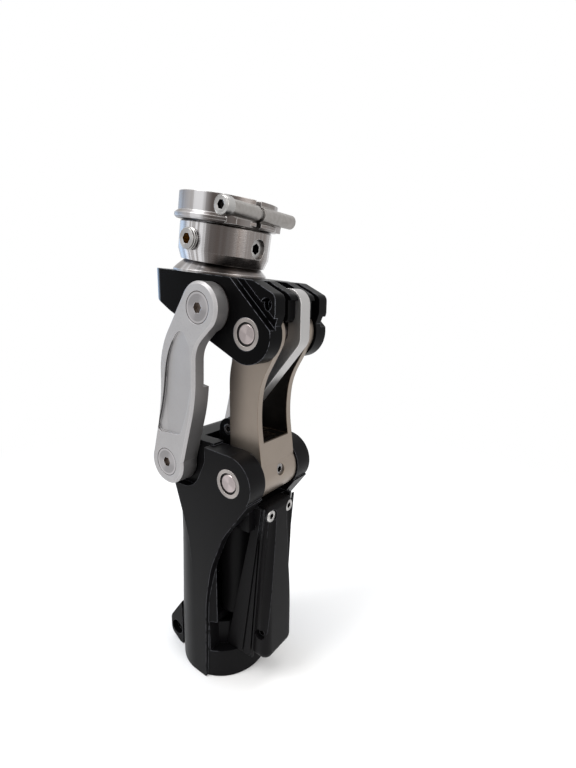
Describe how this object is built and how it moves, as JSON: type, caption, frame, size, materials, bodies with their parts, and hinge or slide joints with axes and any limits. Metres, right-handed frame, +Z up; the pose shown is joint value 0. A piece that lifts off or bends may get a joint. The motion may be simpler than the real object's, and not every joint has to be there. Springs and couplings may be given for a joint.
{
  "type": "prosthetic knee joint",
  "caption": "Polycentric four-bar prosthetic knee with a hydraulic swing unit, a pyramid receiver on top and a tube clamp below, shown straight.",
  "frame": {"origin": "centre of the tube clamp's lower face, on the axis of the shank tube", "axes": "+Z up along the shank tube, +X to the rear (calf side), +Y to the far side in the picture, which faces the front links' inner wearer side"},
  "size_m": [0.0724, 0.0536, 0.2251],
  "materials": {
    "black_anodised": "satin black anodised",
    "link_titanium": "satin",
    "link_aluminium": "fine satin",
    "strap_aluminium": "satin",
    "turned_steel": "turned",
    "screw_steel": "satin",
    "dark_screw": "black oxide",
    "bush_steel": "ground",
    "bearing_plastic": "matte",
    "seal_rubber": "matte"
  },
  "bodies": {
    "shank": {"barrel_sleeve": "bush_steel", "block_screw_far": "dark_screw", "block_screw_near": "dark_screw", "cylinder_gland": "black_anodised", "extension_valve": "dark_screw", "flexion_valve": "dark_screw", "hydraulic_body": "black_anodised", "lower_bush_far": "bush_steel", "lower_bush_near": "bush_steel", "rod_seal": "seal_rubber", "shank_frame": "black_anodised", "tube_clamp_screw": "screw_steel"},
    "rear_link": {"axle_lock_screw": "bush_steel", "lower_axle": "bush_steel", "rear_link": "link_titanium", "upper_axle": "bush_steel"},
    "head": {"collar_screw_far": "screw_steel", "collar_screw_front": "screw_steel", "collar_screw_near": "screw_steel", "collar_screw_rear": "screw_steel", "front_top_bolt_far": "screw_steel", "front_top_bolt_near": "screw_steel", "head_chassis": "black_anodised", "pyramid_bolt": "screw_steel", "pyramid_dome": "turned_steel", "receiver_collar": "turned_steel", "socket_clamp_ring": "turned_steel", "socket_clamp_screw": "screw_steel", "strap_pin": "bush_steel", "upper_bush_far": "bush_steel", "upper_bush_near": "bush_steel"},
    "front_links": {"front_foot_bolt_far": "screw_steel", "front_foot_bolt_near": "screw_steel", "front_foot_bush_far": "bearing_plastic", "front_foot_bush_near": "bearing_plastic", "front_foot_washer_far": "bush_steel", "front_foot_washer_near": "bush_steel", "front_link_far": "link_aluminium", "front_link_near": "link_aluminium", "front_top_bush_far": "bearing_plastic", "front_top_bush_near": "bearing_plastic", "front_top_washer_far": "bush_steel", "front_top_washer_near": "bush_steel"},
    "strap": {"connecting_strap": "strap_aluminium"},
    "piston": {"fork_screw_far": "screw_steel", "fork_screw_near": "screw_steel", "piston": "bush_steel", "piston_ring": "seal_rubber", "piston_rod": "bush_steel", "rod_fork": "black_anodised"}
  },
  "joints": [
    {"name": "knee_flexion", "type": "hinge", "parent": "rear_link", "child": "head", "pos_m": [0.0323, 0, 0.1672], "axis": [0, 1, 0], "range_deg": [0, 148.4]},
    {"name": "rear_link_swing", "type": "hinge", "parent": "shank", "child": "rear_link", "pos_m": [0.024, 0, 0.105], "axis": [0, -1, 0], "range_deg": [0, 28.34]},
    {"name": "front_link_swing", "type": "hinge", "parent": "head", "child": "front_links", "pos_m": [0.014, 0, 0.1768], "axis": [0, -1, 0], "range_deg": [0, 115.6]},
    {"name": "strap_swing", "type": "hinge", "parent": "head", "child": "strap", "pos_m": [0.036, 0, 0.1786], "axis": [0, -1, 0], "range_deg": [0, 141.72]},
    {"name": "piston_stroke", "type": "slide", "parent": "shank", "child": "piston", "axis": [0, 0, -1], "range_m": [0, 0.0276]}
  ],
  "couplings": [
    {"joint": "rear_link_swing", "follows": "knee_flexion", "ratio": 0.191},
    {"joint": "front_link_swing", "follows": "knee_flexion", "ratio": 0.779},
    {"joint": "strap_swing", "follows": "knee_flexion", "ratio": 0.955},
    {"joint": "piston_stroke", "follows": "knee_flexion", "m_per_rad": 0.010657}
  ]
}
